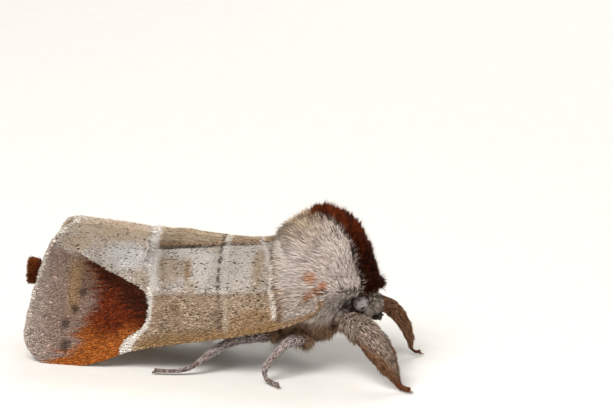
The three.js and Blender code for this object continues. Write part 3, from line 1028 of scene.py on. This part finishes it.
def thorax_lift(spots):
    x, _, z = spots.T
    at_root = bell(past_wing_root(spots) - 0.1, 0.4)
    at_back = smooth_step(6.4, 7.4, z) * smooth_step(4.4, 3.4, x)
    return 0.6 + 0.15 * smooth_step(6.0, 7.5, z) + 0.3 * at_root - 0.45 * at_back


def crest_length(spots):
    x, y, z = spots.T
    low_end = 0.3 * smooth_step(5.0, 4.6, z) * smooth_step(0.4, 0.7, np.abs(y))
    length = 0.72 - 0.14 * smooth_step(5.5, 7.0, x) - 0.12 * smooth_step(7.0, 7.3, x) - low_end
    return length * rng.uniform(0.75, 1.12, len(spots))


def crest_lift(spots):
    z = spots[:, 2]
    return 1.1 + 0.2 * smooth_step(7.0, 5.5, z) - 0.7 * smooth_step(5.0, 4.5, z)


def grow_trunk_hair(skin, coat):
    x, y, z = skin.middles.T
    trunk = np.isin(skin.owners, ("thorax", "crest"))
    crest = np.where(trunk, crest_share(skin.middles), 0)
    covered = past_wing_root(skin.middles) < -0.3
    for name, side in SIDES.items():
        here = trunk * (1 - crest) * (y * side > 0) * (1 - 0.95 * covered) * (1 - skin.at_eye)
        coat("thorax_hair_" + name, "pale_fur", here, 16800, thorax_length, 0.034, from_neck,
             lift=thorax_lift, bend=0.4)
    coat("crest_hair", "crest_fur", crest, 12500, crest_length, 0.034, up_crest, lift=crest_lift,
         bend=0.25, spread=0.3, per_lock=14, gather=0.5, lock_tone=0.95)
    fuzz = crest * (x > 4.4)
    coat("crest_fuzz", "crest_fur", fuzz, 900,
         lambda s: 0.85 - 0.14 * smooth_step(5.5, 7.0, s[:, 0]), 0.02, up_crest,
         lift=1.1, bend=0.3, spread=0.45, per_lock=1, gather=0)
    guard = trunk * (1 - crest) * (z > 6.8) * (np.abs(y) < 1.6)
    coat("guard_hair", "pale_fur", guard, 260, 0.65, 0.028, toward(-0.1, 0, 1.0),
         lift=1.1, bend=0.2, spread=0.3, per_lock=1, gather=0)
    collar = trunk * (1 - crest) * (x > 5.3) * (np.abs(y) > 0.7) * bell(z - 4.45, 0.14)
    coat("collar_fringe", "pale_fur", collar, 1000, 0.45, 0.032, toward(-0.5, 0, -1.0),
         lift=0.6, bend=0.5, spread=0.2, per_lock=5)
    shoulder = trunk * (x > 3.6) * (z < 2.7) * (np.abs(y) > 0.5)
    coat("shoulder_hair", "pale_fur", shoulder, 3600, 0.8, 0.036, toward(-0.1, 0, -1.0),
         lift=0.75, bend=0.5, spread=0.3)


def grow_head_hair(skin, coat):
    x, y, z = skin.middles.T
    head = (skin.owners == "head") * (1 - skin.at_eye)
    coat("face_hair", "pale_fur", head * (z < 4.05), 5600,
         lambda s: np.where(s[:, 0] > FACE_FRONT, 0.42, 0.2), 0.034, over_face,
         lift=lambda s: np.where(s[:, 0] > FACE_FRONT, 0.75, 0.35), bend=0.35, spread=0.3,
         per_lock=14, gather=0.6, lock_tone=0.85)
    rim = np.isin(skin.owners, ("head", "thorax")) * (np.abs(y) > 0.5) * (x < FACE_FRONT)
    rim = rim * smooth_step(4.15, 3.9, z) * bell(skin.eye_gap - 0.47, 0.07)
    coat("eye_rim_hair", "pale_fur", rim, 1400, lambda s: 0.4 - 0.22 * smooth_step(3.6, 4.0, s[:, 2]),
         0.034, from_eye, lift=0.7, bend=0.3, spread=0.2, per_lock=8, gather=0.4)
    brow = (x > 7.15) * (np.abs(y) > 0.4) * np.exp(-((x - 7.3) / 0.1) ** 2 - ((z - 3.95) / 0.2) ** 2)
    coat("brow_tufts", "pale_fur", brow, 480, 0.5, 0.038, toward(-0.1, 0, 1.0),
         lift=1.0, bend=0.2, spread=0.16, per_lock=60, gather=0.5)
    chin = (skin.owners == "head") * (z < 3.15) * (x > 6.8)
    coat("chin_hair", "pale_fur", chin, 900, 0.42, 0.036, toward(0.3, 0, -1.0),
         lift=0.9, bend=0.3, spread=0.3)
    palps = np.char.startswith(skin.owners, "palp")
    coat("palp_hair", "pale_fur", palps, 1500, 0.2, 0.036, toward(1.0, 0, -0.2), lift=0.4, bend=0.2)


def grow_rear_hair(skin, coat):
    x, _, z = skin.middles.T
    belly = (skin.owners == "abdomen") * (0.3 + smooth_step(4.2, 3.2, z) + smooth_step(-6.0, -7.5, x))
    coat("belly_hair", "belly_fur", belly, 6200, 0.5, 0.052, toward(-1.0, 0, -0.15))
    tail = (skin.owners == "tail_brush") * (1 + 2 * smooth_step(-9.1, -9.3, x))
    coat("tail_hair", "crest_fur", tail, 4500, 0, 0.044, to_brush_end, straight=True,
         per_lock=12, lock_tone=0.75)


def leg_hair_length(length, spots):
    """Shorter on the foot, longer on the right foreshin and shorter on the whole left foreleg."""
    x, y, z = spots.T
    on_foot = 0.6 * smooth_step(0.9, 0.4, z)
    on_shin = 0.2 * (y < 0) * smooth_step(7.9, 8.4, x) * smooth_step(0.7, 1.1, z)
    return length * (1 - on_foot + on_shin - 0.3 * (y > 0) * (x > 6))


def grow_leg_hair(skin, coat):
    x, _, z = skin.middles.T
    for kind, count, length, lift, width in (
        ("fore", 11000, 0.38, 0.45, 0.034), ("mid", 3500, 0.22, 0.5, 0.042),
        ("hind", 4500, 0.24, 0.5, 0.042),
    ):
        here = np.isin(skin.owners, ["leg_%s_%s" % (kind, name) for name in SIDES])
        coat(kind + "leg_hair", "leg_fur", here, count, partial(leg_hair_length, length), width,
             leg_direction(kind), lift=lift, bend=0.3, spread=0.1, sink=0.01, lock_tone=0.15, per_lock=3,
             gather=0.12)
    thigh = np.char.startswith(skin.owners, "leg_fore") * (z > 2.2) * (x < 7.0)
    coat("thigh_fringe", "leg_fur", thigh, 1600, 0.6, 0.036, toward(0.15, 0, -1.0),
         lift=0.4, bend=0.4, spread=0.25, sink=0.01)


def grow_body_coat(skin_piece, material):
    skin = Surface(skin_piece.data)
    for grow_part in (grow_trunk_hair, grow_head_hair, grow_rear_hair, grow_leg_hair):
        grow_part(skin, partial(grow, skin, material))


# ---- wings ----

ROOF_POWER = 0.88  # below 1 the folded wings are boxier than a round barrel
RIDGE_GAP = 0.12
COSTA_HEIGHT = along([-10, -6.6, -5.5, -4.3, -2, 0, 3, 5, 6.2],
                     [0, 0.02, 0.35, 0.88, 1.47, 1.88, 2.6, 3.42, 4.15])
ROOF_HALF_WIDTH = along([-10, -8, -4, 0, 3, 5, 6.2], [3.2, 3.3, 3.22, 3.1, 2.92, 2.72, 2.5])
RIDGE_HEIGHT = along([-10, -7.3, -5, -3.2, -2, -1, 0, 1.4, 3, 6.2],
                     [6.78, 6.72, 6.62, 6.48, 6.55, 6.44, 6.41, 6.42, 6.56, 6.45])
OUTER_MARGIN, WING_ROOT = along(*zip(*MARGIN_LINE)), along(*zip(*ROOT_LINE))
HIND_MARGIN = along([0, 0.4, 0.7, 0.9, 1], [-6.7, -7.9, -8.35, -8.1, -7.2])
HIND_ROOT = along([0, 0.5, 1], [2.6, 3.4, 4.4])
FRINGE = 0.3  # how far the fringe stands beyond the wing's edge
SCALE_DEPTH = 0.06  # how deep the scales lie over the wing
WING_THICKNESS = 0.09
HIND_DEPTH = 0.66  # the hindwing is tucked this far inside the forewing
GROOVE_TURN = along(*GROOVE)
PLAIN_SPOT = np.array([[-5.6], [0.15]])  # a plain pale spot of the forewing's markings


def roof_point(x, turn, depth, side):
    """A point of the folded wing: x along the moth, turn from the ridge (0) to the costa (1)."""
    angle = turn * math.pi / 2
    low = COSTA_HEIGHT(x)
    out = (ROOF_HALF_WIDTH(x) - depth) * np.sin(angle) ** ROOF_POWER
    up = (RIDGE_HEIGHT(x) - low - depth) * np.maximum(np.cos(angle), 0) ** ROOF_POWER
    return np.stack([x, side * (out + RIDGE_GAP / 2), low + up], -1)


def relief(x, turn):
    """How far the wing's face sinks below its smooth shape: dorsal groove, creases, veins and root."""
    on_lobe = smooth_step(-4.0, -3.2, x) * smooth_step(3.2, 2.2, x)
    past = turn - GROOVE_TURN(x)
    groove = (0.07 * bell(past - 0.01, 0.02)
              + 0.1 * smooth_step(-0.05, 0.02, past) * smooth_step(0.3, 0.06, past)) * on_lobe
    dip = 0.12 * bell(turn - 0.3, 0.08) * smooth_step(-6.5, -4.0, x) * smooth_step(-3.0, -3.6, x)
    knob = -0.07 * bell(x + 3.2, 0.25) * smooth_step(0.2, 0.04, turn)
    crease = 0.06 * bell(turn - 0.69, 0.018) * smooth_step(3.5, 2.0, x) * smooth_step(-5, -3.4, x)
    veins = 0.02 * (0.5 + 0.5 * np.cos(turn * 2 * math.pi * 10 + 0.25 * x)) * smooth_step(-2.0, -5.0, x)
    sunk_root = 0.25 * smooth_step(-0.7, 0, x - WING_ROOT(turn)) * smooth_step(0.85, 0.7, turn)
    rim = -0.06 * smooth_step(0.9, 0.95, turn) * smooth_step(-3.5, 0, x)
    rolled = 0.14 * smooth_step(-0.2, 0, x - WING_ROOT(turn)) ** 2 * smooth_step(0.7, 0.85, turn)
    waves = 0.03 * (1 + np.sin(x * 2.1 + 4 * turn)) * smooth_step(0.0, 0.3, turn)
    return groove + dip + knob + crease + veins + sunk_root + rim + rolled + waves


def wing_frame(x, turn, depth, side):
    """Point, outward direction and direction towards the margin on a forewing."""
    step = 1e-3
    at = lambda a, b: roof_point(a, b, depth + relief(a, b), side)
    here = at(x, turn)
    back = at(x - step, turn) - here
    turn_step = np.where(turn > 0.5, -step, step)
    around = (at(x, turn + turn_step) - here) * np.sign(turn_step)[:, None]
    out = unit(np.cross(back, around))
    inward = ((here - [0, 0, 3.0]) * (0, 1, 1) * out).sum(1) < 0
    out[inward] *= -1
    return here, out, unit(back)


def wing_place(x, turn):
    """Where something stands on the wing, as the markings take it."""
    return np.stack([(x + WING_SPAN / 2) / WING_SPAN, turn, np.full(len(x), 0.5)], 1)


def make_wing(name, side, margin, root, turns, depth, node, material, columns, rows, forewing):
    """A thin sheet of wing, shaped from a flat grid and given its thickness."""
    bpy.ops.object.select_all(action="DESELECT")
    bpy.ops.mesh.primitive_grid_add(x_subdivisions=columns, y_subdivisions=rows, size=1)
    wing = bpy.context.object
    wing.name = name
    flat = points_of(wing.data) * MM  # the grid is 1 m wide
    share = 1 - (0.5 - np.clip(flat[:, 1], -0.5, 0.5)) ** 1.2
    turn = turns[0] + (turns[1] - turns[0]) * share
    edge = margin(turn) + FRINGE
    x = root(turn) + (edge - root(turn)) * (flat[:, 0] + 0.5)
    sink = depth + (relief(x, turn) if forewing else 0)
    set_points(wing.data, roof_point(x, turn, sink, side))
    note(wing.data, "place", wing_place(x, turn))
    note(wing.data, "tuft", np.tile((0.4, 0.5, 0.9), (len(x), 1)))
    edit(wing, *([bpy.ops.mesh.flip_normals] if side > 0 else []))
    run_modifier(wing, "SOLIDIFY", thickness=WING_THICKNESS * MM, offset=-1)
    # The inner face, and all of the hindwing, is plain and pale, partly as painted light. Its corners come
    # after the outer face's.
    layer = wing.data.attributes["place"].data
    places = np.zeros(len(layer) * 3, np.float32)
    layer.foreach_get("vector", places)
    places.reshape(-1, 3)[len(x) if forewing else 0:] = wing_place(*PLAIN_SPOT)
    layer.foreach_set("vector", places)
    spots = points_of(wing.data)
    spots[:, 2] = np.maximum(spots[:, 2], FLOOR_GAP)
    set_points(wing.data, spots)
    bpy.ops.object.shade_smooth()
    finish_piece(wing, [node], material)


def wing_notes(x, turn):
    """Where a tuft stands on the wing, and its own random shade."""
    return {"place": wing_place(x, turn), "tuft": (rng.beta(2.0, 2.0, len(x)), rng.uniform(0, 1, len(x)))}


def wing_hairs(name, side, material, x, turn, depth, length, width, lift, bend, lean=0.1, flat=0.25):
    """Hairs that lie back along the forewing from given places."""
    count = len(x)
    roots, out, back = wing_frame(x, turn, depth, side)
    flow = unit(back + rng.normal(scale=lean, size=roots.shape))
    flow = laid(flow, out)
    lift = (lift + rng.normal(scale=0.06, size=count))[:, None]
    start, end = raised(flow, out, lift), raised(flow, out, lift - bend)
    piece = hairs(name, roots, start, end, out, length * rng.uniform(0.75, 1.15, count),
                  width * rng.uniform(0.75, 1.25, count), np.zeros_like(roots),
                  wing_notes(x - length / 2, turn), np.stack([x, turn], 1), material, flat)
    finish_piece(piece)


def dress_forewing(name, side, material):
    """Scales over the outer face, fringe, hair along the ridge and long hair-scales at the base."""
    turn = rng.uniform(0, 1, 36000)
    start, end = WING_ROOT(turn), OUTER_MARGIN(turn) + FRINGE
    x = start + (end - start) * rng.uniform(0, 1, len(turn))
    roots, out, back = wing_frame(x, turn, SCALE_DEPTH, side)
    flow = back + rng.normal(scale=0.1, size=roots.shape) + ripple(roots, 0.8) * 0.06
    count = len(x)
    piece = flat_scales("scales_" + name, roots, flow, out, rng.uniform(0.16, 0.22, count),
                        rng.uniform(0.074, 0.095, count), rng.normal(0.06, 0.015, count),
                        wing_notes(x - 0.1, turn), np.stack([x, turn], 1), material)
    finish_piece(piece)

    turn = np.concatenate([rng.uniform(0, 1, 3600), rng.uniform(0, 0.2, 500)])
    x = OUTER_MARGIN(turn) + FRINGE + rng.uniform(-0.02, 0.12, len(turn))
    notched = 0.28 + 0.02 * np.cos(turn * 2 * math.pi * 9) + 0.12 * smooth_step(0.25, 0.1, turn)
    wing_hairs("fringe_" + name, side, material, x, turn, SCALE_DEPTH + rng.uniform(0, 0.08, len(turn)),
               notched, 0.06, 0.03, 0.05)

    turn = rng.uniform(0, 1, 1800) ** 2 * 0.09
    x = rng.uniform(-7.5, 2.6, len(turn))
    tall = 0.18 + 0.1 * smooth_step(-3.0, -6.5, x) + 0.18 * bell(x + 3.3, 0.18)
    tall += 0.15 * smooth_step(1.0, 2.4, x)
    wing_hairs("ridge_hair_" + name, side, material, x, turn, SCALE_DEPTH, tall, 0.04, 0.5, 0.3, lean=0.3)

    # The inside is plain and pale, and shows behind the margin; so does the hindwing. Their pale colour is
    # partly painted light, so that they do not look dark where they lie in shade.
    for part, count, edge, turns, depth, facing in (
        ("inner_", 4500, OUTER_MARGIN, (0.01, 0.99), SCALE_DEPTH + 0.02 + WING_THICKNESS, -1),
        ("hind_", 3500, HIND_MARGIN, (0.12, 0.83), HIND_DEPTH - 0.06, 1),
    ):
        turn = rng.uniform(*turns, count)
        x = edge(turn) + FRINGE + rng.uniform(0, 1, count) ** 1.5 * 2.6
        roots, out, back = wing_frame(x, turn, depth, side)
        flow = back + rng.normal(scale=0.12, size=roots.shape)
        piece = flat_scales(part + "scales_" + name, roots, flow, out * facing,
                            rng.uniform(0.24, 0.32, count), rng.uniform(0.11, 0.14, count),
                            rng.normal(0.08, 0.02, count), wing_notes(*np.repeat(PLAIN_SPOT, count, 1)),
                            np.stack([x, turn], 1), material)
        finish_piece(piece)

    turn = rng.uniform(0, 0.94, 5200)
    x = WING_ROOT(turn) + 0.1 - rng.uniform(0, 1, len(turn)) ** 1.3 * (WING_ROOT(turn) - 2.6)
    near_root = smooth_step(2.4, 3.6, x) * smooth_step(0.9, 0.78, turn)
    wing_hairs("wing_root_hair_" + name, side, material, x, turn, SCALE_DEPTH, 0.25 + 0.4 * near_root,
               0.045, 0.12 + 0.35 * near_root, 0.3, lean=0.16)


# ---- eyes ----

def eye_material():
    """Compound eye: smooth horn of fine hexagonal facets, grey with dark flecks and a moist gloss."""
    made, add, link = new_material("faceted_eye_horn", Roughness=0.42, IOR=1.45)
    here = add("place")
    # Dark flecks inside the eye, about 0.1 mm high and longer than that.
    flecks = add("noise", add("vector_multiply", here, (0.5, 1, 1)), 8500.0, 2.0)
    link(add("mix", add("ramp", flecks, 0.38, 0.47), "14110F", "8C8480"), "Base Color")
    # Facets are about 0.02 mm across, drawn at 0.04 so that they show.
    link(add("bump", add("cells", here, 25000.0), 0.6, 0.01 * MM, invert=True), "Normal")
    return made


EYE_RADIUS = 0.43
EYE_ASIDE = 0.88  # mm from the middle plane


def make_eyes(material):
    for name, side in SIDES.items():
        bpy.ops.object.select_all(action="DESELECT")
        bpy.ops.mesh.primitive_uv_sphere_add(
            segments=48, ring_count=32, radius=EYE_RADIUS * MM,
            location=(EYE_CENTRE[0] * MM, side * EYE_ASIDE * MM, EYE_CENTRE[2] * MM),
            scale=(0.92, 0.88, 1.0),
        )
        eye = bpy.context.object
        eye.name = "compound_eye_" + name
        bpy.ops.object.transform_apply(location=True, rotation=True, scale=True)
        bpy.ops.object.shade_smooth()
        finish_piece(eye, ["eye_" + name], material)


# ---- feelers and claws ----

FEELER = [(7.3, 0.5, 3.95), (6.95, 0.92, 4.26), (6.2, 1.6, 4.2), (5.4, 1.86, 3.86), (4.2, 1.92, 3.4),
          (2.8, 1.98, 2.95), (1.5, 2.02, 2.55)]
FEELER_STEPS = 64
COMB_LENGTH = 0.2


def horn_material():
    """Bare horn of feelers and claws: smooth dark brown chitin with a low gloss."""
    made, add, link = new_material("brown_chitin_horn", Roughness=0.4, IOR=1.56)
    # Rings of the feeler's joints, about 0.15 mm apart.
    bands = add("noise", add("place"), 7000.0, 2.0)
    link(add("mix", add("ramp", bands, 0.35, 0.65), "3A2418", "8A6848"), "Base Color")
    return made


def cones(name, starts, ends, radii, sides, material):
    """Joins one round cone for each start and end, in mm. Radii are (start, end) for each."""
    axis = unit(ends - starts)
    helper = np.where(np.abs(axis[:, 2:]) > 0.9, (1.0, 0, 0), (0, 0, 1.0))
    first = unit(np.cross(axis, helper))
    second = np.cross(axis, first)
    corners = []
    for centre, radius in ((starts, radii[:, 0]), (ends, radii[:, 1])):
        for number in range(sides):
            angle = 2 * math.pi * number / sides
            corners.append(centre + (first * math.cos(angle) + second * math.sin(angle)) * radius[:, None])
    corners = np.stack(corners, 1)
    faces = []
    for number in range(sides):
        after = (number + 1) % sides
        faces.append((number, after, sides + after, sides + number))
    caps = [tuple(range(sides))[::-1], tuple(range(sides, 2 * sides))]
    all_faces = [
        tuple(corner + tuft * 2 * sides for corner in face)
        for tuft in range(len(starts)) for face in faces + caps
    ]
    mesh = bpy.data.meshes.new(name)
    mesh.from_pydata((corners.reshape(-1, 3) * MM).tolist(), [], all_faces)
    mesh.update()
    piece = new_piece(name, mesh)
    activate(piece)
    bpy.ops.object.shade_smooth_by_angle(angle=math.radians(50))
    mesh.materials.append(material)
    return piece


def make_feelers(material):
    """A tapered shaft of many joints with two rows of comb teeth."""
    share = np.linspace(0, 1, len(FEELER))
    path = [along(share, [point[i] for point in FEELER]) for i in range(3)]
    at = np.linspace(0, 1, FEELER_STEPS + 1)
    for name, side in SIDES.items():
        line = np.stack([part(at) for part in path], 1) * (1, side, 1)
        ahead = unit(np.diff(line, axis=0))
        radius = 0.085 - 0.05 * at
        starts, ends = [line[:-1]], [line[1:]]
        radii = [np.stack([radius[:-1], radius[1:] * 0.92], 1)]
        across = unit(np.cross(ahead, (0, 0, 1.0)))
        reach = COMB_LENGTH * np.sin(np.pi * np.clip(at[:-1] * 1.05, 0, 1)) ** 0.5
        for turn in (1, -1):
            tooth = unit(across * turn + ahead * 0.7)
            starts.append(line[:-1])
            ends.append(line[:-1] + tooth * np.maximum(reach, 0.03)[:, None])
            radii.append(np.tile((0.022, 0.008), (len(ahead), 1)))
        piece = cones("feeler_" + name, np.concatenate(starts), np.concatenate(ends),
                      np.concatenate(radii), 6, material)
        finish_piece(piece, ["antenna_" + name])


def make_claws(material):
    """A pair of small hooked claws at the end of each foot."""
    starts, ends, radii = [], [], []
    for joints in LEG_JOINTS.values():
        toe, ankle = np.array(joints[-1]), np.array(joints[-2])
        ahead = unit((toe - ankle) * (1, 1, 0))
        across = np.array([-ahead[1], ahead[0], 0])
        base = (toe - ahead * 0.1) * (1, 1, 0) + (0, 0, 0.12)
        for turn in (1, -1):
            knee = base + ahead * 0.06 + across * turn * 0.07 + (0, 0, 0.02)
            starts += [base - ahead * 0.08, knee]
            ends += [knee, knee + ahead * 0.07 + across * turn * 0.02 - (0, 0, 0.09)]
            radii += [(0.04, 0.03), (0.03, 0.006)]
    piece = cones("claws", np.array(starts), np.array(ends), np.array(radii), 8, material)
    finish_piece(piece)


# ---- put together ----

bpy.context.scene.view_settings.view_transform = "Standard"
stage_set()
body_group = body_markings()
wing_group = wing_markings()
hair = coat_material("dry_silky_hair", body_group, 0.6, 0)
hide = coat_material("matt_chitin_skin", body_group, 0.7, 0.02)
scales = coat_material("dusty_wing_scales", wing_group, 0.6, 0)
membrane = coat_material("scaly_wing_membrane", wing_group, 0.7, 0.02)
skin = make_skin(hide)
grow_body_coat(skin, hair)
for side_name, side_sign in SIDES.items():
    make_wing("forewing_sheet_" + side_name, side_sign, OUTER_MARGIN, WING_ROOT, (0, 1), SCALE_DEPTH + 0.02,
              "forewing_" + side_name, membrane, 110, 100, True)
    make_wing("hindwing_sheet_" + side_name, side_sign, HIND_MARGIN, HIND_ROOT, (0.1, 0.84), HIND_DEPTH,
              "hindwing_" + side_name, membrane, 40, 24, False)
    dress_forewing(side_name, side_sign, scales)
make_eyes(eye_material())
horn = horn_material()
make_feelers(horn)
make_claws(horn)
